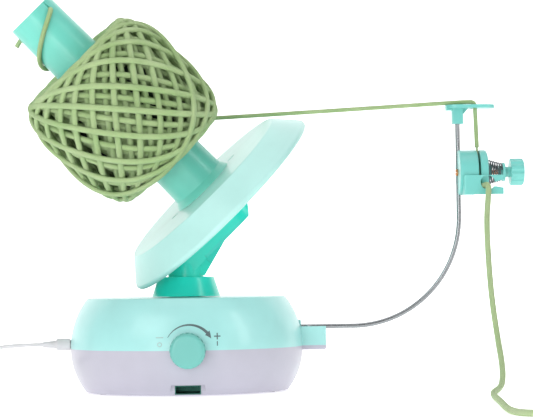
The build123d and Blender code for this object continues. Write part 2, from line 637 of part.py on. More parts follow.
with BuildPart() as turret_housing:
    revolve(
        outline(Plane.XZ, [(0, TURRET_BOTTOM), (22.1, TURRET_BOTTOM), (18.0, 74.1), (0, 74.1)]),
        axis=Axis.Z,
    )
    fillet(turret_housing.edges().group_by(Axis.Z)[-1], radius=0.8)
    add(neck_top)
    slab = head_plan(0, HEAD_BACK, HEAD_FRONT - HEAD_BACK)
    add(slab - rod(upright(0, 0, 0), 60, 76))
    add(head_rib(-80, COVER_U))
    add(rod(spindle_plane(HEAD_FRONT - 0.5), 10.8, 8.5))
    add(beyond_end(HEAD_END_X), mode=Mode.SUBTRACT)
    add(neck_bore, mode=Mode.SUBTRACT)
    cavity = head_plan(HEAD_WALL, HEAD_BACK + HEAD_WALL, HEAD_FRONT - HEAD_BACK - 2 * HEAD_WALL)
    add(cavity - beyond_end(HEAD_END_X - END_WALL), mode=Mode.SUBTRACT)
    for u, v in COVER_SCREWS:
        add(rod(spindle_plane(HEAD_BACK + HEAD_WALL, u, v), 1.9, HEAD_FRONT - HEAD_BACK - 1.5 * HEAD_WALL))
    behind = half_space(HEAD_BACK - 8, HEAD_BACK + HEAD_WALL, COVER_U, 30)
    add(head_plan(-0.1, HEAD_BACK - 6, 6 + HEAD_WALL) & behind, mode=Mode.SUBTRACT)
    add(rod(upright(0, 0, 60), hub_flange_r + 0.1, TURRET_BOTTOM + 3.5 - 60), mode=Mode.SUBTRACT)
    add(rod(upright(0, 0, 60), NECK_BORE, 24), mode=Mode.SUBTRACT)
    add(rod(spindle_plane(-34.0), 7.5, 10), mode=Mode.SUBTRACT)
    add(rod(spindle_plane(HEAD_FRONT - HEAD_WALL - 1), 4.6, 30), mode=Mode.SUBTRACT)
    add(rod(spindle_plane(HEAD_FRONT - 3.2, JACK_U), 1.3, 2.6), mode=Mode.SUBTRACT)
    add(rod(spindle_plane(HEAD_FRONT - 3.2, IDLER_U, IDLER_V), 1.25, 2.8), mode=Mode.SUBTRACT)
    for u, v in COVER_SCREWS:
        add(rod(spindle_plane(HEAD_BACK, u, v), 1.05, 8), mode=Mode.SUBTRACT)
    for step in range(3):
        x, y = polar(HUB_SCREW_R, TURN + 120 * step)
        add(rod(upright(x, y, 64), 1.2, 8), mode=Mode.SUBTRACT)
save(turret_housing.part, "turret_housing")


with BuildPart() as head_cover:
    behind = half_space(HEAD_BACK - 1, HEAD_BACK + HEAD_WALL, COVER_U + 0.15, 30)
    add((head_plan(0, HEAD_BACK, HEAD_WALL) & behind) - beyond_end(HEAD_END_X))
    add(head_rib(COVER_U + 0.15, 20))
    add(rod(spindle_plane(HEAD_BACK + HEAD_WALL - 0.1), 5.7, 3.1))
    add(rod(spindle_plane(HEAD_BACK + HEAD_WALL - 0.1), 4.6, 6), mode=Mode.SUBTRACT)
    add(rod(spindle_plane(HEAD_BACK + 0.7, JACK_U), 1.3, 6), mode=Mode.SUBTRACT)
    for u, v in COVER_SCREWS:
        add(rod(spindle_plane(HEAD_BACK - 1, u, v), 1.1, 5), mode=Mode.SUBTRACT)
        add(rod(spindle_plane(HEAD_BACK - 1, u, v), 2.0, 2.1), mode=Mode.SUBTRACT)
save(head_cover.part, "head_cover")

with BuildPart() as head_cover_screws:
    for u, v in COVER_SCREWS:
        plane = spindle_plane(HEAD_BACK + 1.1, u, v)
        add(screw(Plane(origin=plane.origin, x_dir=ACROSS, z_dir=ALONG * -1), 1.9, 1.0, 1.05, 4.5))
save(head_cover_screws.part, "head_cover_screws")

with BuildPart() as front_bearing:
    add(ring(spindle_plane(-34.0), 7.5, 6.2, 5.0))
    add(ring(spindle_plane(-34.0), 5.4, SHAFT_R + 0.05, 5.0))
    add(ring(spindle_plane(-33.2), 6.3, 5.3, 3.4))
save(front_bearing.part, "front_bearing")

with BuildPart() as rear_bearing:
    add(ring(spindle_plane(HEAD_BACK + HEAD_WALL), 4.6, 3.8, 3.0))
    add(ring(spindle_plane(HEAD_BACK + HEAD_WALL), 3.2, 2.05, 3.0))
    add(ring(spindle_plane(HEAD_BACK + HEAD_WALL + 0.6), 3.9, 3.1, 1.8))
save(rear_bearing.part, "rear_bearing")

with BuildPart() as jack_gear:
    first_tooth = 180 + 180 / BEVEL_TEETH
    add(bevel(spindle_plane(JACK_S, JACK_U), BEVEL_TEETH, first_tooth, jack_cone, cone_distance, BEVEL_FACE))
    add(rod(spindle_plane(JACK_S - 1.2, JACK_U), 8.6, 1.2))
    idler_way = degrees(atan2(IDLER_V, IDLER_U - JACK_U))
    add(spur(spindle_plane(GEAR_S, JACK_U), JACK_TEETH, MODULE_HEAD, idler_way, GEAR_WIDTH))
    add(rod(spindle_plane(HEAD_BACK + 0.9, JACK_U), 1.25, HEAD_FRONT - 1.2 - HEAD_BACK - 0.9))
save(jack_gear.part, "jack_gear")

idler_from_jack = degrees(atan2(IDLER_V, IDLER_U - JACK_U)) + 180
spindle_from_idler = degrees(atan2(-IDLER_V, -IDLER_U))
idler_step = 360 / IDLER_TEETH
idler_first = idler_from_jack + idler_step / 2
with BuildPart() as idler_gear:
    add(spur(spindle_plane(GEAR_S, IDLER_U, IDLER_V), IDLER_TEETH, MODULE_HEAD, idler_first, GEAR_WIDTH))
    add(rod(spindle_plane(GEAR_S - 2, IDLER_U, IDLER_V), 1.3, 8), mode=Mode.SUBTRACT)
save(idler_gear.part, "idler_gear")

with BuildPart() as idler_pin:
    add(rod(spindle_plane(GEAR_S - 0.2, IDLER_U, IDLER_V), 1.25, HEAD_FRONT - 0.4 - GEAR_S + 0.2))
save(idler_pin.part, "idler_pin")

# ---------------------------------------------------------------- spindle

# the tooth of the idler nearest the spindle sets where the spindle gear's gap lies
idler_lag = (spindle_from_idler - idler_first) % idler_step
spindle_tooth = spindle_from_idler + 180 + (idler_lag / idler_step + 0.5) * 360 / SPINDLE_TEETH

with BuildPart() as spindle_gear:
    add(spur(spindle_plane(GEAR_S), SPINDLE_TEETH, MODULE_HEAD, spindle_tooth, GEAR_WIDTH))
    add(rod(spindle_plane(GEAR_S - 0.6), 6.0, 1.0))
    add(rod(spindle_plane(GEAR_S - 2), SHAFT_R, 8), mode=Mode.SUBTRACT)
save(spindle_gear.part, "spindle_gear")

with BuildPart() as spindle_shaft:
    add(rod(spindle_plane(HEAD_BACK + HEAD_WALL + 0.2), 2.0, 6))
    add(rod(spindle_plane(HEAD_BACK + HEAD_WALL + 4.0), SHAFT_R, DISH_FRONT + 51.1))
    add(rod(spindle_plane(DISH_FRONT + 7.5), 2.0, 7.0))
save(spindle_shaft.part, "spindle_shaft")

DISC_HUB_S = -27.4
with BuildPart() as winding_disc:
    wall = 2.2
    lip, rim = 4.8, 3.2
    flank = degrees(atan2(DISH_REAR_R - DISH_FRONT_R, DISH_FRONT - DISH_REAR - rim))
    side_step = wall / cos(radians(flank))
    revolve(
        outline(
            SPINDLE_SIDE,
            [
                (0, DISH_FRONT),
                (DISH_FRONT_R, DISH_FRONT),
                (DISH_REAR_R, DISH_REAR + rim),
                (DISH_REAR_R, DISH_REAR),
                (DISH_REAR_R - lip, DISH_REAR),
                (DISH_REAR_R - lip, DISH_REAR + lip - 0.6),
                (DISH_FRONT_R - side_step + 1.5, DISH_FRONT - wall),
                (0, DISH_FRONT - wall),
            ],
        ),
        axis=SPINDLE_AXIS,
    )
    rims = winding_disc.edges().filter_by(GeomType.CIRCLE).sort_by(SPINDLE_AXIS)
    fillet(rims[-1], radius=1.4)
    outer = winding_disc.edges().filter_by(GeomType.CIRCLE)
    fillet(outer.filter_by(lambda edge: edge.radius > DISH_REAR_R - 0.05), radius=2.0)
    add(ring(spindle_plane(DISC_HUB_S), 9.0, SHAFT_R, DISH_FRONT - wall + 0.2 - DISC_HUB_S))
    with BuildSketch(spindle_plane(DISH_FRONT - wall - 3.0)):
        with PolarLocations(34.0, 6, start_angle=30):
            Rectangle(52.0, 1.6)
    extrude(amount=3.2)
    with BuildSketch(spindle_plane(DISH_FRONT - 8)):
        with Locations((26.5, 0), (-26.5, 0)):
            SlotOverall(6.0, 3.0)
    extrude(amount=12, mode=Mode.SUBTRACT)
    add(rod(spindle_plane(DISH_FRONT - 20), SHAFT_R, 30), mode=Mode.SUBTRACT)
save(winding_disc.part, "winding_disc")


def tube_radius(s):
    """The winding tube's outer radius, which tapers a little towards its tip."""
    return TUBE_FOOT_R + (TUBE_TIP_R - TUBE_FOOT_R) * (s - TUBE_FOOT) / (TUBE_TIP - TUBE_FOOT)


SLIT_ANGLES = (-57.0, 150.0)
SLIT_S = 134.0
with BuildPart() as yarn_tube:
    revolve(
        outline(
            SPINDLE_SIDE,
            [
                (0, DISH_FRONT),
                (TUBE_FOOT_R + 3.0, DISH_FRONT),
                (TUBE_FOOT_R + 2.2, DISH_FRONT + 1.4),
                (TUBE_FOOT_R, TUBE_FOOT),
                (TUBE_TIP_R, TUBE_TIP),
                (TUBE_TIP_R - TUBE_WALL, TUBE_TIP),
                (TUBE_FOOT_R - TUBE_WALL, TUBE_FOOT),
                (TUBE_FOOT_R - TUBE_WALL, DISH_FRONT + 3.0),
                (0, DISH_FRONT + 3.0),
            ],
        ),
        axis=SPINDLE_AXIS,
    )
    add(rod(spindle_plane(DISH_FRONT - 1), SHAFT_R, 8), mode=Mode.SUBTRACT)
    for angle in SLIT_ANGLES:
        direction = ACROSS * cos(radians(angle)) + SIDEWAYS * sin(radians(angle))
        cutter = Plane(origin=spindle_point(SLIT_S, 0, 0) + direction * 10, x_dir=ALONG, z_dir=direction)
        with BuildSketch(cutter):
            Circle(YARN_R + 0.15)
            with Locations(((TUBE_TIP - SLIT_S) / 2 + 1, 0)):
                Rectangle(TUBE_TIP - SLIT_S + 2, 1.2)
        extrude(amount=12, mode=Mode.SUBTRACT)
save(yarn_tube.part, "yarn_tube")

with BuildPart() as tube_nut:
    with BuildSketch(spindle_plane(DISH_FRONT + 3.0)):
        RegularPolygon(radius=6.5, side_count=6)
        Circle(SHAFT_R, mode=Mode.SUBTRACT)
    extrude(amount=3.6)
save(tube_nut.part, "tube_nut")

with BuildPart() as yarn_ball:

    def barrel(turn):
        """A point on the ball's rounded-square half section, by angle from its lower end."""
        c, d = cos(radians(turn)), sin(radians(turn))
        size = (abs(c) ** BALL_POWER + abs(d) ** BALL_POWER) ** (-1 / BALL_POWER)
        return BALL_R * size * d, BALL_S - BALL_HALF_LENGTH * size * c

    first, last = 24.0, 156.0
    with BuildSketch(SPINDLE_SIDE):
        with BuildLine():
            Spline(*[barrel(first + (last - first) * i / 14) for i in range(15)])
            low, high = barrel(first), barrel(last)
            inner_low = (tube_radius(low[1]) + 0.05, low[1])
            inner_high = (tube_radius(high[1]) + 0.05, high[1])
            Polyline(low, inner_low, inner_high, high)
        make_face()
    revolve(axis=SPINDLE_AXIS)
save(yarn_ball.part, "yarn_ball")


def on_tube(s, angle, stand_off):
    """A point beside the winding tube, by its angle from ACROSS towards SIDEWAYS."""
    radius = tube_radius(s) + stand_off
    return spindle_point(s, radius * cos(radians(angle)), radius * sin(radians(angle)))


# the yarn's first end: out of one hole, across the tube, out of the other and round to the ball
START_ROUTE = [
    on_tube(131.8, 153.0, 5.6),
    on_tube(134.0, 149.0, -2.2),
    on_tube(134.0, -55.0, -3.6),
    on_tube(133.8, -60.0, 2.3),
    on_tube(130.4, -84.0, 2.1),
    on_tube(126.2, -109.0, 2.1),
    on_tube(121.6, -134.0, 2.1),
    on_tube(116.8, -159.0, 2.1),
    on_tube(112.2, -184.0, 2.1),
    on_tube(108.0, -209.0, 2.1),
    on_tube(106.0, -232.0, 2.2),
]
start_radii = corner_radii(START_ROUTE)
start_radii[:3] = [1.6, 1.6, 1.6]
with BuildPart() as yarn_start:
    add(cord("yarn_start", START_ROUTE, YARN_R, start_radii))
save(yarn_start.part, "yarn_start")

# ---------------------------------------------------------------- wire arm and yarn guide

with BuildPart() as guide_arm:
    with BuildLine() as arm_path:
        FilletPolyline((WIRE_IN_X, 0, WIRE_Z), (WIRE_X, 0, WIRE_Z), (WIRE_X, 0, WIRE_TOP), radius=WIRE_BEND)
    with BuildSketch(Plane(origin=arm_path.wire() @ 0, z_dir=arm_path.wire() % 0)):
        Circle(WIRE_R)
    sweep()
save(guide_arm.part, "guide_arm")

with BuildPart() as arm_lock_screws:
    for side in (-1, 1):
        add(screw(upright(78.8, side * 4.6, BLOCK_TOP), 2.0, 0.8, 0.85, 7))
save(arm_lock_screws.part, "arm_lock_screws")

with BuildPart() as guide_plate:
    with BuildSketch(Plane.XY.offset(GUIDE_TOP - GUIDE_THICK)):
        with Locations((178.1, 0), (195.4, 0)):
            Circle(7.5)
        make_hull()
    extrude(amount=GUIDE_THICK)
    add(block((174.8, 182.0), (-3.6, 3.6), (171.3, GUIDE_TOP - 0.5)))
    fillet(guide_plate.edges().filter_by(Axis.Z).group_by(Axis.Z)[0], radius=1.0)
    add(block((170.9, 174.9), (-3.6, 3.6), (GUIDE_TOP - 3.5, GUIDE_TOP - 0.5)))
    gusset = outline(
        Plane.XZ,
        [
            (181.5, GUIDE_TOP - 2),
            (185.5, GUIDE_TOP - 2),
            (185.5, GUIDE_TOP - GUIDE_THICK),
            (182.0, GUIDE_TOP - 6.3),
            (181.5, GUIDE_TOP - 6.3),
        ],
    )
    add(extrude(gusset, amount=1.0, both=True, mode=Mode.PRIVATE))
    add(rod(upright(EYE_X, 0, 170), EYE_R, 20), mode=Mode.SUBTRACT)
    add(block((EYE_X, EYE_X + 1.6), (0, 12), (170, 190)), mode=Mode.SUBTRACT)
    add(rod(upright(WIRE_X, 0, 165), WIRE_R, WIRE_TOP - 165), mode=Mode.SUBTRACT)
save(guide_plate.part, "guide_plate")

# ---------------------------------------------------------------- tensioner

with BuildPart() as tension_drum:
    add(rod(tension_plane(DRUM_X0), DRUM_R, DRUM_X1 - DRUM_X0))
    fillet(tension_drum.edges().sort_by(Axis.X)[0], radius=1.2)
    chamfer(tension_drum.edges().sort_by(Axis.X)[-1], length=0.6)
    tab_front = TAB_BACK - TAB_THICK
    add(block((DRUM_X0 + 1.8, 187.4), (tab_front, TENSION_Y), (124.6, 137.0)))
    fillet(tension_drum.edges().filter_by(Axis.Z).sort_by(Axis.Y)[0:1], radius=1.0)
    add(block((DRUM_X1 - 4, 205.0), (tab_front, TAB_BACK), (124.6, 137.0)))
    add(rod(Plane(origin=(HOLE_X, tab_front - 1, HOLE_Z), z_dir=(0, 1, 0)), HOLE_R, 5), mode=Mode.SUBTRACT)
    mouth = outline(
        Plane.XZ,
        [
            (HOLE_X, HOLE_Z - 2.6),
            (200.4, HOLE_Z - 2.6),
            (206, HOLE_Z - 3.6),
            (206, HOLE_Z + 2.2),
            (200.4, HOLE_Z + 0.4),
            (HOLE_X, HOLE_Z + 0.4),
        ],
    )
    add(extrude(mouth, amount=30, mode=Mode.PRIVATE), mode=Mode.SUBTRACT)
    add(rod(tension_plane(DRUM_X0 - 2), ROD_R, 20), mode=Mode.SUBTRACT)
    add(rod(upright(WIRE_X, 0, 120), WIRE_R, 40), mode=Mode.SUBTRACT)
    add(block((DRUM_X0 - 1, WIRE_X), (-WIRE_R, WIRE_R), (120, 160)), mode=Mode.SUBTRACT)
    add(rod(tension_plane(DRUM_X0 - 2), 2.3, 2.4), mode=Mode.SUBTRACT)
save(tension_drum.part, "tension_drum")

ROD_END = 217.4
with BuildPart() as tension_bolt:
    add(rod(tension_plane(176.2), 2.2, 2.0))
    fillet(tension_bolt.edges().sort_by(Axis.X)[0], radius=0.8)
    add(rod(tension_plane(177.5), ROD_R, ROD_END - 177.5))
    add(block((175, 176.9), (TENSION_Y - 3, TENSION_Y + 3), (TENSION_Z - 0.3, TENSION_Z + 0.3)), mode=Mode.SUBTRACT)
    add(rod(Plane(origin=(WIRE_X, 0, 130), z_dir=(0, 0, 1)), WIRE_R + 0.02, 20), mode=Mode.SUBTRACT)
save(tension_bolt.part, "tension_bolt")

with BuildPart() as pressure_disc:
    add(rod(tension_plane(DISC_X0), DRUM_R, DISC_X1 - DISC_X0))
    chamfer(pressure_disc.edges().sort_by(Axis.X)[0], length=0.6)
    fillet(pressure_disc.edges().sort_by(Axis.X)[-1], radius=1.4)
    add(rod(tension_plane(DISC_X1 - 0.5), 5.0, 3.9))
    add(rod(tension_plane(DISC_X0 - 1), ROD_R + 0.08, 20), mode=Mode.SUBTRACT)
save(pressure_disc.part, "pressure_disc")

SPRING_END = 206.6
SPRING_WIRE_R = 0.45
with BuildPart() as tension_spring:
    start_x = DISC_X1 + SPRING_WIRE_R + 0.1
    rise = SPRING_END - SPRING_WIRE_R - 0.1 - start_x
    cone = degrees(atan(2.5 / rise))
    with BuildLine() as spiral:
        Helix(
            pitch=rise / 6.0,
            height=rise,
            radius=8.1,
            center=(start_x, TENSION_Y, TENSION_Z),
            direction=(1, 0, 0),
            cone_angle=-cone,
        )
    with BuildSketch(Plane(origin=spiral.wire() @ 0, z_dir=spiral.wire() % 0)):
        Circle(SPRING_WIRE_R)
    sweep(is_frenet=True)
save(tension_spring.part, "tension_spring")

with BuildPart() as spring_cap:
    add(rod(tension_plane(SPRING_END), 6.2, 1.8))
    fillet(spring_cap.edges().sort_by(Axis.X)[-1], radius=0.5)
    add(rod(tension_plane(SPRING_END - 2.4), 4.2, 3.0))
    add(rod(tension_plane(SPRING_END - 4), ROD_R + 0.08, 10), mode=Mode.SUBTRACT)
save(spring_cap.part, "spring_cap")

KNOB_X0 = 211.7
KNOB_X1 = 220.5
with BuildPart() as tension_knob:
    add(rod(tension_plane(KNOB_X0), 8.7, KNOB_X1 - KNOB_X0))
    fillet(tension_knob.edges().sort_by(Axis.X)[-1], radius=1.4)
    fillet(tension_knob.edges().sort_by(Axis.X)[0], radius=0.8)
    add(rod(tension_plane(SPRING_END + 2.1), 3.4, KNOB_X0 - SPRING_END - 1.6))
    with BuildSketch(tension_plane(KNOB_X0 - 1)):
        with PolarLocations(10.6, 10):
            Circle(2.6)
    extrude(amount=12, mode=Mode.SUBTRACT)
    add(rod(tension_plane(SPRING_END), ROD_R + 0.05, ROD_END + 1.7 - SPRING_END), mode=Mode.SUBTRACT)
save(tension_knob.part, "tension_knob")

# ---------------------------------------------------------------- yarn from the ball to the table

# from the ball's back, over the guide plate and down through its eye to the tensioner
LEAD_ROUTE = [(-19.6, 53.5, 178.8), (189.0, 0.0, 186.4), (190.5, -3.2, 155.8)]
with BuildPart() as yarn_lead:
    add(cord("yarn_lead", LEAD_ROUTE, YARN_R, [3.2]))
save(yarn_lead.part, "yarn_lead")

with BuildPart() as yarn_nip:
    strip = outline(
        Plane.YZ.offset(190.1),
        [(-5.3, 155.8), (-1.1, 155.8), (-3.0, 145.0), (-14.6, 127.7), (-17.6, 131.1), (-8.2, 147.0)],
    )
    extrude(strip, amount=0.8)
save(yarn_nip.part, "yarn_nip")

# out of the tensioner, through the hook's hole, down to the table and forward along it
TAIL_ROUTE = [
    (190.5, -17.0, 129.0),
    (194.2, -19.3, 131.4),
    (195.0, -23.0, 129.2),
    (194.3, -24.4, 121.5),
    (192.8, -26.0, 108.0),
    (192.8, -30.5, 84.0),
    (193.6, -37.0, 58.0),
    (195.8, -44.5, 33.0),
    (197.6, -52.5, 14.8),
    (196.0, -61.0, 4.7),
    (191.2, -74.0, 1.9),
    (184.7, -98.0, 1.9),
    (178.8, -142.0, 1.9),
    (174.9, -194.0, 1.9),
    (170.0, -243.0, 1.9),
    (168.2, -280.0, 1.9),
    (173.5, -295.0, 1.9),
    (187.4, -297.0, 1.9),
    (198.7, -291.0, 1.9),
]
tail_radii = corner_radii(TAIL_ROUTE)
tail_radii[:2] = [2.6, 2.4]
with BuildPart() as yarn_tail:
    add(cord("yarn_tail", TAIL_ROUTE, TAIL_R, tail_radii))
save(yarn_tail.part, "yarn_tail")

# ---------------------------------------------------------------- power lead

PLUG_END = -84.4
RELIEF_END = -93.0
with BuildPart() as lead_plug:
    with BuildSketch(left_plane.offset(0.4)):
        Circle(3.8)
    extrude(amount=-PLUG_END - SEAM_R - 0.4)
    fillet(lead_plug.edges().sort_by(Axis.X)[0], radius=1.0)
    add(rod(left_plane.offset(-12.5), 2.75, 13.5))
    add(rod(left_plane.offset(-13), 1.05, 12.6), mode=Mode.SUBTRACT)
save(lead_plug.part, "lead_plug")

with BuildPart() as strain_relief:
    revolve(
        outline(
            Plane.XZ,
            [(PLUG_END, LEAD_Z), (PLUG_END, LEAD_Z + 2.6), (RELIEF_END, LEAD_Z + 1.8), (RELIEF_END, LEAD_Z)],
        ),
        axis=Axis((0, 0, LEAD_Z), (1, 0, 0)),
    )
save(strain_relief.part, "strain_relief")

# out of the strain relief, down to the table beyond the left-hand side, and into its coil
LEAD_PATH = [
    (RELIEF_END, 0.0, LEAD_Z),
    (-109.0, 0.1, 31.4),
    (-126.0, -0.4, 29.8),
    (-143.0, -1.6, 24.6),
    (-158.0, -3.4, 15.4),
    (-170.0, -4.0, 6.6),
    (-180.0, -1.0, 1.9),
    (-185.6, 6.0, 1.2),
    (-186.6, 15.0, 1.2),
]
with BuildPart() as power_lead:
    add(cord("power_lead", LEAD_PATH, LEAD_R))
save(power_lead.part, "power_lead")

COIL_HEIGHT = 9.6
with BuildPart() as lead_coil:
    add(ring(upright(COIL_X, COIL_Y, 0), COIL_R + 3.7, COIL_R - 3.7, COIL_HEIGHT))
    fillet(lead_coil.edges(), radius=1.2)
save(lead_coil.part, "lead_coil")

with BuildPart() as coil_tie:
    add(block((COIL_X + 8.3, COIL_X + 18.1), (COIL_Y - 2, COIL_Y + 2), (0, COIL_HEIGHT + 1.0)))
    add(block((COIL_X + 9.2, COIL_X + 16.9), (COIL_Y - 3, COIL_Y + 3), (-1, COIL_HEIGHT)), mode=Mode.SUBTRACT)
save(coil_tie.part, "coil_tie")

USB_X = -166.0
USB_Y = 44.5
with BuildPart() as usb_grip:
    add(block((USB_X, USB_X + 21), (USB_Y - 5.8, USB_Y + 5.8), (0, 7.6)))
    fillet(usb_grip.edges(), radius=1.6)
    add(rod(Plane(origin=(USB_X + 1, USB_Y, 3.8), z_dir=(-1, 0, 0)), 2.0, 7))
save(usb_grip.part, "usb_grip")

with BuildPart() as usb_shell:
    add(block((USB_X + 21, USB_X + 33), (USB_Y - 6 + 0.05, USB_Y + 6 - 0.05), (1.55, 6.05)))
    add(block((USB_X + 23, USB_X + 34), (USB_Y - 5.6, USB_Y + 5.6), (1.9, 5.7)), mode=Mode.SUBTRACT)
    add(block((USB_X + 22.5, USB_X + 32), (USB_Y - 5.55, USB_Y + 5.55), (2.0, 3.8)))
save(usb_shell.part, "usb_shell")
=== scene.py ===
"""Electric yarn ball winder: the CAD frame's pieces get their materials, and the yarn, the leads and the
small soft or printed details are built here. Metres, +Z up, the front is -Y. Routes, radii and places on
the spindle are in millimetres, and are scaled by MM where they become vertices.
"""
import math
import random

import bpy
import numpy as np
from mathutils import Matrix, Vector


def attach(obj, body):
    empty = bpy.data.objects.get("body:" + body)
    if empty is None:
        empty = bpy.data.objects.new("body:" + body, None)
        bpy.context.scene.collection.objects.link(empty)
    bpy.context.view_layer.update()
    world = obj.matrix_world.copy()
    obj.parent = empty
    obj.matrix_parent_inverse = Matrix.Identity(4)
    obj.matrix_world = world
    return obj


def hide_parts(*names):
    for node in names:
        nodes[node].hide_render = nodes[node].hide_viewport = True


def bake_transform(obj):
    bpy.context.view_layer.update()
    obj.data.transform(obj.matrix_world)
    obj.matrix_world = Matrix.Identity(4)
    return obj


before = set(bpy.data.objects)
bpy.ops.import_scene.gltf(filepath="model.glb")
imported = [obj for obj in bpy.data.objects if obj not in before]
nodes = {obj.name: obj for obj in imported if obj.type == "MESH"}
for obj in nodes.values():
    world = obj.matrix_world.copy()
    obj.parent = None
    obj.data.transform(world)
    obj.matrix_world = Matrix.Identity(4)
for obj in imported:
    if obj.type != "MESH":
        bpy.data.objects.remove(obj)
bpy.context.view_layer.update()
scene = bpy.context.scene
random.seed(7)

MM = 0.001
TILT, TURN = math.radians(45.0), math.radians(11.0)
OUTWARD = Vector((math.cos(TURN), math.sin(TURN), 0))
SIDEWAYS = Vector((-math.sin(TURN), math.cos(TURN), 0))
ALONG = OUTWARD * -math.cos(TILT) + Vector((0, 0, math.sin(TILT)))
ACROSS = OUTWARD * math.sin(TILT) + Vector((0, 0, math.cos(TILT)))
CROSS = Vector((0, 0, 144.3))  # where the spindle meets the turret's axis
YARN_R = 1.5  # in the ball
RUN_R = 1.35  # drawn thinner where it is taut
TAIL_R = 1.9  # fuller where it hangs loose


def spindle_point(s, u, v):
    """A point in millimetres, s along the spindle, u across it in the turret's upright plane, v sideways."""
    return CROSS + ALONG * s + ACROSS * u + SIDEWAYS * v


# ---------------------------------------------------------------- camera

camera = bpy.data.cameras.new("camera")
camera.lens = 145.7
camera.sensor_width = 36.0
camera.clip_start = 0.05
camera.clip_end = 20
camera_object = bpy.data.objects.new("camera", camera)
scene.collection.objects.link(camera_object)
camera_object.location = (-0.0059, -1.4010, 0.0762)
yaw, pitch, roll = math.radians(-2.4), math.radians(1.67), math.radians(-0.8)
camera_object.rotation_euler = (
    Matrix.Rotation(yaw, 3, "Z")
    @ Matrix.Rotation(math.pi / 2 + pitch, 3, "X")
    @ Matrix.Rotation(roll, 3, "Z")
).to_euler()
scene.camera = camera_object

# ---------------------------------------------------------------- materials


def linear(code):
    """A linear colour from a hex sRGB code."""
    values = [int(code[i : i + 2], 16) / 255 for i in (0, 2, 4)]
    return [v / 12.92 if v <= 0.04045 else ((v + 0.055) / 1.055) ** 2.4 for v in values] + [1.0]


class Nodes:
    """A material's node tree, with short ways to add and link nodes."""

    def __init__(self, name):
        self.material = bpy.data.materials.new(name)
        self.material.use_nodes = True
        self.tree = self.material.node_tree
        self.shader = self.tree.nodes["Principled BSDF"]

    def add(self, kind, **values):
        node = self.tree.nodes.new(kind)
        for key, value in values.items():
            if key in node.inputs:
                node.inputs[key].default_value = value
            else:
                setattr(node, key, value)
        return node

    def link(self, out, into):
        self.tree.links.new(out, into)

    def noise(self, scale, detail=2.0, stretch=None):
        where = self.add("ShaderNodeTexCoord").outputs["Object"]
        if stretch:
            mapping = self.add("ShaderNodeMapping")
            mapping.inputs["Scale"].default_value = stretch
            self.link(where, mapping.inputs["Vector"])
            where = mapping.outputs["Vector"]
        texture = self.add("ShaderNodeTexNoise", Scale=scale, Detail=detail)
        self.link(where, texture.inputs["Vector"])
        return texture.outputs["Fac"]

    def ramp(self, value, stops):
        ramp = self.add("ShaderNodeValToRGB")
        elements = ramp.color_ramp.elements
        while len(elements) < len(stops):
            elements.new(0.5)
        for element, (place, colour) in zip(elements, stops):
            element.position = place
            element.color = colour if len(colour) == 4 else [*colour, 1.0]
        self.link(value, ramp.inputs["Fac"])
        return ramp.outputs["Color"]

    def between(self, value, low, high):
        spread = self.add("ShaderNodeMapRange")
        spread.inputs["To Min"].default_value = low
        spread.inputs["To Max"].default_value = high
        self.link(value, spread.inputs["Value"])
        return spread.outputs["Result"]

    def bump(self, height, strength, distance, normal=None):
        bump = self.add("ShaderNodeBump", Strength=strength, Distance=distance)
        self.link(height, bump.inputs["Height"])
        if normal is not None:
            self.link(normal, bump.inputs["Normal"])
        return bump.outputs["Normal"]


def shade(colour, factor):
    """A colour made lighter or darker."""
    return [min(1.0, c * factor) for c in colour[:3]] + [1.0]


def plastic(name, code, roughness=0.3, grain=0.25, coat=0.25, tint=0.03):
    """Moulded plastic: faint flow mottling, fine surface grain and an uneven sheen."""
    m = Nodes(name)
    colour = linear(code)
    mottle = m.noise(38.0, 3.0)
    m.link(
        m.ramp(mottle, [(0.35, shade(colour, 1 - tint)), (0.65, shade(colour, 1 + tint))]),
        m.shader.inputs["Base Color"],
    )
    m.link(m.between(m.noise(260.0, 2.0), roughness - 0.05, roughness + 0.06), m.shader.inputs["Roughness"])
    orange_peel = m.bump(m.noise(420.0, 1.0), 0.10, 0.0004)
    m.link(m.bump(m.noise(5200.0, 2.0), grain, 0.00003, orange_peel), m.shader.inputs["Normal"])
    m.shader.inputs["Coat Weight"].default_value = coat
    m.shader.inputs["Coat Roughness"].default_value = 0.12
    m.shader.inputs["IOR"].default_value = 1.5
    return m.material


def metal(name, code, roughness=0.25, stretch=(1, 1, 1), scale=900.0, depth=0.00004):
    """Drawn or turned metal: fine lines along the working direction and patches of dull surface."""
    m = Nodes(name)
    colour = linear(code)
    m.shader.inputs["Metallic"].default_value = 1.0
    lines = m.noise(scale, 3.0, stretch)
    m.link(
        m.ramp(lines, [(0.3, shade(colour, 0.86)), (0.7, shade(colour, 1.08))]),
        m.shader.inputs["Base Color"],
    )
    m.link(m.between(m.noise(160.0, 3.0), roughness - 0.07, roughness + 0.12), m.shader.inputs["Roughness"])
    m.link(m.bump(lines, 0.35, depth), m.shader.inputs["Normal"])
    return m.material


def rubber(name, code, roughness=0.6):
    """Soft rubber or vinyl with a fine matt grain."""
    m = Nodes(name)
    colour = linear(code)
    m.link(
        m.ramp(m.noise(120.0, 3.0), [(0.3, shade(colour, 0.92)), (0.7, shade(colour, 1.06))]),
        m.shader.inputs["Base Color"],
    )
    m.link(m.between(m.noise(700.0), roughness - 0.06, roughness + 0.08), m.shader.inputs["Roughness"])
    m.link(m.bump(m.noise(3500.0), 0.3, 0.00004), m.shader.inputs["Normal"])
    return m.material


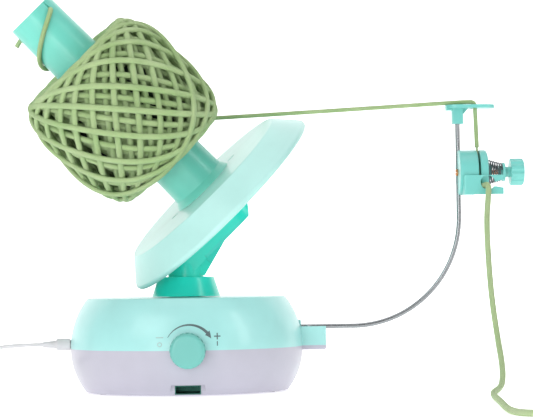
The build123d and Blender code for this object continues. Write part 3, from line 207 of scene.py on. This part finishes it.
def yarn(name, light, dark, ribs=True):
    """Knitted tape yarn: fine ribs across the strand with painted shade in their troughs, soft fibres and
    slow changes of colour.
    """
    m = Nodes(name)
    slow = m.noise(55.0, 3.0)
    base = m.ramp(slow, [(0.25, linear(dark)), (0.75, linear(light))])
    fibres = m.noise(2600.0, 3.0)
    if ribs:
        where = m.add("ShaderNodeTexCoord").outputs["UV"]
        wave = m.add("ShaderNodeTexWave", Scale=1.0, Distortion=1.4)
        wave.inputs["Detail"].default_value = 1.0
        m.link(where, wave.inputs["Vector"])
        # painted shade: the colour is multiplied darker in the rib troughs, as shade in the creases
        rib_shade = m.add("ShaderNodeMix", data_type="RGBA", blend_type="MULTIPLY")
        rib_shade.inputs["Factor"].default_value = 1.0
        m.link(base, rib_shade.inputs["A"])
        m.link(
            m.ramp(wave.outputs["Fac"], [(0.0, (0.62, 0.66, 0.56)), (0.55, (1.0, 1.0, 1.0))]),
            rib_shade.inputs["B"],
        )
        base = rib_shade.outputs["Result"]
        normal = m.bump(wave.outputs["Fac"], 0.8, 0.00035)
        m.link(m.bump(fibres, 0.5, 0.00015, normal), m.shader.inputs["Normal"])
    else:
        m.link(m.bump(fibres, 0.5, 0.00015), m.shader.inputs["Normal"])
    m.link(base, m.shader.inputs["Base Color"])
    m.link(m.between(fibres, 0.78, 0.95), m.shader.inputs["Roughness"])
    m.shader.inputs["Sheen Weight"].default_value = 0.25
    m.shader.inputs["Sheen Roughness"].default_value = 0.5
    return m.material


MINT = plastic("mint_shell", "A4DEDB", 0.34)
LAVENDER = plastic("lavender_shell", "BAB8C6", 0.32)
TEAL = plastic("turret_teal", "1CE4CE", 0.30)
HEAD = plastic("head_teal", "2EDCCB", 0.33)
DISC = plastic("disc_mint", "B2E2DC", 0.38, coat=0.15)
TUBE = plastic("tube_mint", "6FD0C0", 0.34)
KNOB = plastic("knob_mint", "69B9B0", 0.34)
GUIDE = plastic("guide_teal", "74C9C1", 0.33)
WHITE = plastic("white_plastic", "F0F1F2", 0.35)
GEAR = plastic("gear_nylon", "E6E2D4", 0.45, coat=0.0)
BOARD = plastic("board_green", "1C6B3C", 0.4)
BLACK = plastic("black_plastic", "1A1A1C", 0.42)
INK = rubber("printed_grey", "5A6C6E", 0.55)
PALE_INK = rubber("printed_pale", "A6C4C1", 0.55)
STEEL = metal("drawn_steel", "9A9DA0", 0.24, (1, 1, 12))
SPRING = metal("spring_steel", "6E7276", 0.28)
BRONZE = metal("sintered_bronze", "B58A55", 0.45)
COPPER = metal("plated_screw", "C98A5E", 0.25)
SOCKET = metal("clamp_metal", "3D6B60", 0.35)
FEET = rubber("foot_rubber", "2A2B2E", 0.7)
LEAD = rubber("lead_vinyl", "D2D2D5", 0.5)
YARN = yarn("sage_yarn", "D4EDB0", "B4D88E")
# painted light: a paler copy of the same sage yarn for the loose tail, standing in for the brighter light on
# it
LIT_YARN_TAIL = yarn("sage_yarn_painted_light", "D8EEB6", "C2DEA0")
# painted shade: a very dark yarn colour for the shell under the windings, standing in for the shade between
# them
SHADE_CORE = yarn("painted_shade_core", "2A4F2C", "122B16", ribs=False)

dressed = {
    MINT: "upper_housing",
    LAVENDER: "lower_housing",
    TEAL: "turret_housing",
    HEAD: "head_cover",
    DISC: "winding_disc",
    TUBE: "yarn_tube",
    KNOB: "speed_knob",
    GUIDE: "guide_plate tension_drum pressure_disc spring_cap tension_knob",
    WHITE: "gear_plate board_supports turret_hub",
    GEAR: "motor_pinion compound_gear turret_gear jack_gear idler_gear spindle_gear",
    BOARD: "circuit_board",
    BLACK: "board_components speed_potentiometer power_socket",
    STEEL: "housing_screws gear_plate_screws motor motor_screws compound_axle sun_post guide_arm "
    "arm_lock_screws hub_screws head_cover_screws front_bearing rear_bearing idler_pin spindle_shaft "
    "tube_nut knob_shaft usb_shell",
    SPRING: "tension_spring",
    BRONZE: "lower_bush upper_bush",
    COPPER: "tension_bolt",
    SOCKET: "clamp_socket",
    FEET: "rubber_feet",
    LEAD: "lead_plug strain_relief power_lead lead_coil coil_tie usb_grip",
    YARN: "yarn_lead yarn_nip yarn_ball yarn_start",
    LIT_YARN_TAIL: "yarn_tail",
}
for material, names in dressed.items():
    for name in names.split():
        node = nodes[name]
        node.data.materials.clear()
        node.data.materials.append(material)
        node.data.shade_smooth()
        angle = node.modifiers.new("edges", "EDGE_SPLIT")
        angle.split_angle = math.radians(32)

# ---------------------------------------------------------------- cords


def strand(name, points, radius, material):
    """A smooth round strand whose NURBS line has these control points, in millimetres."""
    curve = bpy.data.curves.new(name, "CURVE")
    curve.dimensions = "3D"
    spline = curve.splines.new("NURBS")
    spline.points.add(len(points) - 1)
    for place, point in zip(spline.points, points):
        place.co = (*(Vector(point) * MM), 1.0)
    spline.order_u = 3
    spline.use_endpoint_u = True
    spline.resolution_u = 8
    curve.bevel_depth = radius * MM
    curve.bevel_resolution = 5
    curve.use_fill_caps = True
    piece = bpy.data.objects.new(name, curve)
    scene.collection.objects.link(piece)
    curve.materials.append(material)
    return piece


def line_of(name, points):
    """Points along the NURBS line with these control points, in millimetres."""
    guide = strand(name + "_line", points, 0.0, YARN)
    bpy.context.view_layer.update()
    mesh = bpy.data.meshes.new_from_object(guide.evaluated_get(bpy.context.evaluated_depsgraph_get()))
    line = np.array([v.co for v in mesh.vertices], float) / MM
    bpy.data.objects.remove(guide)
    bpy.data.meshes.remove(mesh)
    return line


def tube(name, line, widths, material, up=None, sides=10, rib=1.1):
    """A mesh tube along a line in millimetres. widths are its half-width and half-height, and up holds
    the height's direction at each point. Its UV runs along it in rib widths and once round it."""
    line = np.asarray(line, float)
    tangent = np.gradient(line, axis=0)
    tangent /= np.linalg.norm(tangent, axis=1)[:, None]
    if up is None:
        up = np.zeros_like(line)
        first = np.array((0.0, 0.0, 1.0)) if abs(tangent[0][2]) < 0.9 else np.array((0.0, 1.0, 0.0))
        for i, t in enumerate(tangent):
            first = first - t * (first @ t)
            first /= np.linalg.norm(first)
            up[i] = first
    else:
        up = up - tangent * (up * tangent).sum(1)[:, None]
        up /= np.linalg.norm(up, axis=1)[:, None]
    side = np.cross(tangent, up)
    turn = np.linspace(0, 2 * math.pi, sides, endpoint=False)
    wide, high = widths
    rings = (
        line[:, None]
        + side[:, None] * (np.cos(turn) * wide)[None, :, None]
        + up[:, None] * (np.sin(turn) * high)[None, :, None]
    )
    count = len(line)
    vertices = rings.reshape(-1, 3) * MM
    index = np.arange(count * sides).reshape(count, sides)
    a, b = index[:-1], index[1:]
    faces = np.stack([a, np.roll(a, -1, 1), np.roll(b, -1, 1), b], axis=-1).reshape(-1, 4)
    along = np.concatenate([[0], np.cumsum(np.linalg.norm(np.diff(line, axis=0), axis=1))]) / rib
    column = np.arange(sides)
    u = np.stack([along[:-1], along[:-1], along[1:], along[1:]], axis=-1)
    v = np.stack([column, column + 1, column + 1, column], axis=-1) / sides
    uv = np.zeros((count - 1, sides, 4, 2))
    uv[..., 0] = u[:, None, :]
    uv[..., 1] = v[None, :, :]
    mesh = bpy.data.meshes.new(name)
    caps = [tuple(index[0][::-1].tolist()), tuple(index[-1].tolist())]
    polygons = [tuple(f) for f in faces.tolist()] + caps
    loops = np.vstack([uv.reshape(-1, 2), np.zeros((2 * sides, 2))])
    mesh.from_pydata(vertices.tolist(), [], polygons)
    layer = mesh.uv_layers.new(name="UVMap")
    layer.data.foreach_set("uv", loops.astype(np.float32).ravel())
    mesh.shade_smooth()
    mesh.materials.append(material)
    piece = bpy.data.objects.new(name, mesh)
    scene.collection.objects.link(piece)
    return piece


# from behind the ball over the guide plate and down through its eye to the tensioner. Its first point
# stands clear of the windings by about 7.6 mm, so the run does not touch the ball
LEAD_ROUTE = [
    (-19.6, 53.5, 178.8),
    (60.0, 31.5, 181.2),
    (171.0, 3.8, 185.4),
    (185.6, 0.6, 185.9),
    (189.6, 0.0, 185.6),
    (190.1, -0.2, 182.0),
    (190.3, -1.4, 171.0),
    (190.5, -3.2, 155.8),
]
lead_line = line_of("yarn_run", LEAD_ROUTE)
yarn_run = tube("yarn_run", lead_line, (RUN_R, RUN_R), YARN, sides=12)
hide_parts("yarn_lead")
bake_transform(yarn_run)

# pressed flat between the drum and the pressure disc
NIP_ROUTE = [
    (190.5, -3.2, 157.0),
    (190.5, -4.4, 151.0),
    (190.5, -6.6, 145.5),
    (190.5, -11.0, 137.5),
    (190.5, -17.2, 128.6),
]
NIP_HALF_SIZE = (2.1, 0.62)
nip_line = line_of("yarn_in_tensioner", NIP_ROUTE)
nip_up = np.tile((1.0, 0.0, 0.0), (len(nip_line), 1))
yarn_in_tensioner = tube("yarn_in_tensioner", nip_line, NIP_HALF_SIZE, YARN, up=nip_up)
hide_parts("yarn_nip")
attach(yarn_in_tensioner, "base")

TAIL_ROUTE = [
    (190.5, -17.0, 129.0),
    (194.2, -19.3, 131.4),
    (195.0, -23.0, 129.2),
    (194.3, -24.4, 121.5),
    (192.8, -26.0, 108.0),
    (192.8, -30.5, 84.0),
    (193.6, -37.0, 58.0),
    (195.8, -44.5, 33.0),
    (197.6, -52.5, 14.8),
    (196.0, -61.0, 4.7),
    (191.2, -74.0, 1.9),
    (184.7, -98.0, 1.9),
    (178.8, -142.0, 1.9),
    (174.9, -194.0, 1.9),
    (170.0, -243.0, 1.9),
    (168.2, -280.0, 1.9),
    (173.5, -295.0, 1.9),
    (187.4, -297.0, 1.9),
    (198.7, -291.0, 1.9),
]
tail_line = line_of("yarn_supply", TAIL_ROUTE)
yarn_supply = tube("yarn_supply", tail_line, (TAIL_R, TAIL_R), LIT_YARN_TAIL, sides=12)
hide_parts("yarn_tail")
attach(yarn_supply, "base")

# the power lead: from its strain relief down to the table, then wound into a small coil
LEAD_PATH = [
    (-93.0, 0.0, 31.5),
    (-109.0, 0.1, 31.4),
    (-126.0, -0.4, 29.8),
    (-143.0, -1.6, 24.6),
    (-158.0, -3.4, 15.4),
    (-170.0, -4.0, 6.6),
    (-180.0, -1.0, 1.9),
    (-185.6, 6.0, 1.2),
]
COIL_X, COIL_Y = -172.0, 22.0
COIL_STEPS = 14
COIL_HOLD = 0.72  # the share of a turn after which it moves over to the next one
COIL_LEVELS = (
    (1.3, (15.6, 13.2, 10.8)),
    (3.7, (10.8, 13.2, 15.6)),
    (6.1, (15.6, 13.2)),
    (8.4, (13.2, 15.6)),
)
LEAD_R = 1.2
coil_places = [(r, z) for z, radii in COIL_LEVELS for r in radii]
coil_route = []
for turn, (radius, height) in enumerate(coil_places):
    next_radius, next_height = coil_places[min(turn + 1, len(coil_places) - 1)]
    for step in range(COIL_STEPS):
        share = max(0.0, (step / COIL_STEPS - COIL_HOLD) / 0.28)
        angle = math.radians(200) - 2 * math.pi * step / COIL_STEPS
        r = radius + (next_radius - radius) * share
        z = height + (next_height - height) * share
        coil_route.append((COIL_X + r * math.cos(angle), COIL_Y + r * math.sin(angle), z))
OUT_ROUTE = [
    (-187.0, 20.0, 8.2),
    (-187.4, 29.0, 7.0),
    (-185.6, 37.5, 5.2),
    (-180.6, 43.0, 4.1),
    (-174.0, 44.5, 3.8),
    (-170.5, 44.5, 3.8),
]
usb_lead = strand("usb_lead", LEAD_PATH + coil_route + OUT_ROUTE, LEAD_R, LEAD)
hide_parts("power_lead", "lead_coil")
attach(usb_lead, "base")

# ---------------------------------------------------------------- the wound ball

BALL_S, BALL_HALF_LENGTH, BALL_R, BALL_POWER = 55.2, 52.7, 53.0, 3.8
BALL_OFFSET = -1.6
TURN_GROWTH = 0.27
OUTER_PHASES = [-125, -98, -75, -50, -23, 0, 22.4, 50, 75, 96, 114, 133, 154, 175.5, 199, 221]
LAYER_SHIFTS = [0, 12, 5, 17, 8]
STEPS_PER_TURN = 84
PHASE_SPREAD = 1.4  # degrees by which each turn strays at random
STRAND_HALF_SIZE = (2.0, 1.6)

a_dir, u_dir, v_dir = (np.array(axis, float) for axis in (ALONG, ACROSS, SIDEWAYS))
phases = [p + 360 * layer + shift for layer, shift in enumerate(LAYER_SHIFTS) for p in OUTER_PHASES]
phases = [p + random.uniform(-PHASE_SPREAD, PHASE_SPREAD) for p in phases]
turns = len(phases) - 1
t = np.linspace(0, turns, turns * STEPS_PER_TURN + 1)
phi = np.radians(np.interp(t, range(len(phases)), phases))
depth = YARN_R * 1.1 + t * TURN_GROWTH
half_r = BALL_R - depth
half_l = BALL_HALF_LENGTH - YARN_R - t * TURN_GROWTH * 0.22
lean = np.arctan2(half_r, half_l + 2.0)
w = np.cos(phi)[:, None] * u_dir + np.sin(phi)[:, None] * v_dir
w_side = -np.sin(phi)[:, None] * u_dir + np.cos(phi)[:, None] * v_dir
e1 = np.cos(lean)[:, None] * a_dir - np.sin(lean)[:, None] * w
angle = 2 * math.pi * t
ray = np.cos(angle)[:, None] * e1 + np.sin(angle)[:, None] * w_side
along_part = np.abs(ray @ a_dir)
round_part = np.sqrt(np.maximum(0, 1 - along_part**2))
reach = ((along_part / half_l) ** BALL_POWER + (round_part / half_r) ** BALL_POWER) ** (-1 / BALL_POWER)
centre = np.array(spindle_point(BALL_S, BALL_OFFSET, 0))
ball_line = centre + ray * reach[:, None]
yarn_windings = tube("yarn_windings", ball_line, STRAND_HALF_SIZE, YARN, up=ray, sides=8)
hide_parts("yarn_ball")
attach(yarn_windings, "spindle")

# a dark shell under the open layers: painted shade that stands for the shade in the gaps between the
# windings
CORE_STEPS, CORE_SIDES = 26, 48
CORE_R, CORE_HALF_LENGTH, CORE_LEAST_R, CORE_POWER = 34.0, 42.5, 20.4, 3.0
core_rows = []
for i in range(CORE_STEPS + 1):
    bend = math.radians(24 + (156 - 24) * i / CORE_STEPS)
    c, d = math.cos(bend), math.sin(bend)
    size = (abs(c) ** CORE_POWER + abs(d) ** CORE_POWER) ** (-1 / CORE_POWER)
    core_rows.append((max(CORE_LEAST_R, CORE_R * size * d), BALL_S - CORE_HALF_LENGTH * size * c))
core_rows = [(19.0, core_rows[0][1])] + core_rows + [(18.0, core_rows[-1][1])]
core_angles = [2 * math.pi * k / CORE_SIDES for k in range(CORE_SIDES)]
core_vertices = [
    spindle_point(s, r * math.cos(turned), r * math.sin(turned)) * MM
    for r, s in core_rows
    for turned in core_angles
]
core_faces = []
for i in range(len(core_rows) - 1):
    low, high = i * CORE_SIDES, (i + 1) * CORE_SIDES
    for k in range(CORE_SIDES):
        following = (k + 1) % CORE_SIDES
        core_faces.append((low + k, low + following, high + following, high + k))
core_mesh = bpy.data.meshes.new("painted_shade_core")
core_mesh.from_pydata([tuple(p) for p in core_vertices], [], core_faces)
core_mesh.shade_smooth()
core_mesh.materials.append(SHADE_CORE)
painted_shade_core = bpy.data.objects.new("painted_shade_core", core_mesh)
scene.collection.objects.link(painted_shade_core)
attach(painted_shade_core, "spindle")


TUBE_FOOT, TUBE_TIP = -12.2, 140.6
TUBE_FOOT_R, TUBE_TIP_R = 19.3, 16.5


def tube_radius(s):
    """The winding tube's outer radius in millimetres."""
    return TUBE_FOOT_R + (TUBE_TIP_R - TUBE_FOOT_R) * (s - TUBE_FOOT) / (TUBE_TIP - TUBE_FOOT)


def on_tube(s, angle, stand_off):
    """A point beside the winding tube, by its angle from ACROSS towards SIDEWAYS."""
    radius = tube_radius(s) + stand_off
    return spindle_point(s, radius * math.cos(math.radians(angle)), radius * math.sin(math.radians(angle)))


START_ROUTE = [
    on_tube(131.8, 153.0, 5.6),
    on_tube(134.0, 149.0, -2.2),
    on_tube(134.0, -55.0, -3.6),
    on_tube(133.8, -60.0, 2.3),
    on_tube(130.4, -84.0, 2.1),
    on_tube(126.2, -109.0, 2.1),
    on_tube(121.6, -134.0, 2.1),
    on_tube(116.8, -159.0, 2.1),
    on_tube(112.2, -184.0, 2.1),
    on_tube(108.0, -209.0, 2.1),
    on_tube(106.0, -232.0, 2.2),
]
start_line = line_of("yarn_first_end", START_ROUTE)
yarn_first_end = tube("yarn_first_end", start_line, (YARN_R, YARN_R), YARN, sides=12)
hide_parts("yarn_start")
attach(yarn_first_end, "spindle")

# ---------------------------------------------------------------- printed marks round the speed knob

SEAM_Z, UPPER_ARC, SEAM_R = 28.8, 52.0, 75.0
INK_THICKNESS = 0.00008  # metres


def on_shell(x, z, lift=0.06):
    """A point on the upper shell's front in millimetres, lifted a little off its skin."""
    radius = SEAM_R - UPPER_ARC + math.sqrt((UPPER_ARC + lift) ** 2 - (z - SEAM_Z) ** 2)
    return Vector((x, -math.sqrt(radius**2 - x**2), z))


def print_mark(name, rows, material=INK):
    """A thin printed mark: rows of points (x, z) that are joined into a sheet on the shell's front."""
    vertices = [on_shell(x, z) * MM for row in rows for x, z in row]
    width = len(rows[0])
    faces = [
        (i * width + k, i * width + k + 1, (i + 1) * width + k + 1, (i + 1) * width + k)
        for i in range(len(rows) - 1)
        for k in range(width - 1)
    ]
    mesh = bpy.data.meshes.new(name)
    mesh.from_pydata([tuple(p) for p in vertices], [], faces)
    mesh.materials.append(material)
    piece = bpy.data.objects.new(name, mesh)
    scene.collection.objects.link(piece)
    solid = piece.modifiers.new("ink", "SOLIDIFY")
    solid.thickness = INK_THICKNESS
    solid.offset = 1.0
    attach(piece, "base")
    return piece


ARC_X, ARC_Z = 1.0, 28.4


def ring_point(offset, degrees_up):
    """A point on the arc over the knob, by its offset from the arc's line and its angle from +X."""
    lift = math.sin(math.radians(degrees_up))
    radius = 15.0 + 1.2 * lift + offset
    return (ARC_X + radius * math.cos(math.radians(degrees_up)), ARC_Z + radius * lift)


ACROSS_MARK = (-1, -0.33, 0.33, 1)
arc_rows = []
for i in range(41):
    share = i / 40
    half = 0.12 + 0.78 * share
    arc_rows.append([ring_point(half * side, 147 - 103 * share) for side in ACROSS_MARK])
print_mark("mark_arc", arc_rows)
tip_rows = []
for i in range(13):
    share = i / 12
    half = 1.9 * (1 - share) + 0.02
    tip_rows.append([ring_point(half * side, 45 - 15.5 * share) for side in ACROSS_MARK])
print_mark("mark_arrow", tip_rows)


def bar(x0, x1, z0, z1, steps=6):
    """Rows of a flat bar in the front view."""
    return [
        [(x0 + (x1 - x0) * i / steps, z0 + (z1 - z0) * k / steps) for k in range(steps + 1)]
        for i in range(steps + 1)
    ]


print_mark("mark_minus", bar(-19.4, -14.8, 36.7, 37.3), PALE_INK)
print_mark("mark_plus_across", bar(16.4, 20.4, 37.1, 37.8))
print_mark("mark_plus_up", bar(18.05, 18.75, 35.45, 39.45))
ring_rows = []
for i in range(33):
    turn_angle = 2 * math.pi * i / 32
    ring_rows.append([
        (-17.1 + r * math.cos(turn_angle), 32.7 + r * math.sin(turn_angle)) for r in (0.95, 1.25, 1.5)
    ])
print_mark("mark_off", ring_rows, PALE_INK)
print_mark("mark_on", bar(18.1, 18.7, 31.6, 34.4))

# ---------------------------------------------------------------- studio


def paper_sheet(name, profile, half_width, glow):
    """White paper that follows a profile of (y, z) points, with a glow that keeps it white when lit."""
    mesh = bpy.data.meshes.new(name)
    mesh.from_pydata(
        [(x, y, z) for y, z in profile for x in (-half_width, half_width)],
        [],
        [(2 * i, 2 * i + 1, 2 * i + 3, 2 * i + 2) for i in range(len(profile) - 1)],
    )
    mesh.shade_smooth()
    sheet = bpy.data.objects.new(name, mesh)
    scene.collection.objects.link(sheet)
    paper = Nodes(name)
    paper.shader.inputs["Base Color"].default_value = (0.93, 0.93, 0.93, 1)
    paper.shader.inputs["Roughness"].default_value = 0.9
    paper.shader.inputs["Emission Color"].default_value = (1, 1, 1, 1)
    paper.shader.inputs["Emission Strength"].default_value = glow
    mesh.materials.append(paper.material)


backdrop = [(0.9, -0.0005)]
BEND_STEPS = 12
for i in range(BEND_STEPS + 1):
    bend = math.pi / 2 * i / BEND_STEPS
    backdrop.append((2.2 + 1.0 * math.sin(bend), 1.0 - 1.0 * math.cos(bend)))
backdrop.append((3.2, 5.0))
paper_sheet("studio_floor", [(-6.0, 0.0), (0.9, 0.0)], 6.0, 0.50)
paper_sheet("studio_backdrop", backdrop, 6.0, 0.95)

world = bpy.data.worlds.new("studio")
world.use_nodes = True
world.node_tree.nodes["Background"].inputs["Color"].default_value = (1, 1, 1, 1)
world.node_tree.nodes["Background"].inputs["Strength"].default_value = 0.30
scene.world = world
scene.view_settings.view_transform = "Standard"


def area_light(name, place, aim, size, power):
    """A soft box at a place, turned towards a point."""
    lamp = bpy.data.lights.new(name, "AREA")
    lamp.shape = "RECTANGLE"
    lamp.size, lamp.size_y = size
    lamp.energy = power
    piece = bpy.data.objects.new(name, lamp)
    piece.location = place
    piece.rotation_euler = (Vector(aim) - Vector(place)).to_track_quat("-Z", "Y").to_euler()
    scene.collection.objects.link(piece)


area_light("left_box", (-0.75, -0.95, 0.75), (0.0, 0.0, 0.12), (0.9, 0.7), 5.0)
area_light("low_box", (-0.35, -1.10, 0.10), (0.0, 0.0, 0.08), (0.7, 0.35), 3.0)
area_light("right_box", (0.95, -0.6, 0.55), (0.0, 0.0, 0.12), (0.22, 0.9), 2.6)
area_light("top_box", (0.05, 0.0, 1.25), (0.0, 0.0, 0.1), (1.3, 1.1), 5.2)
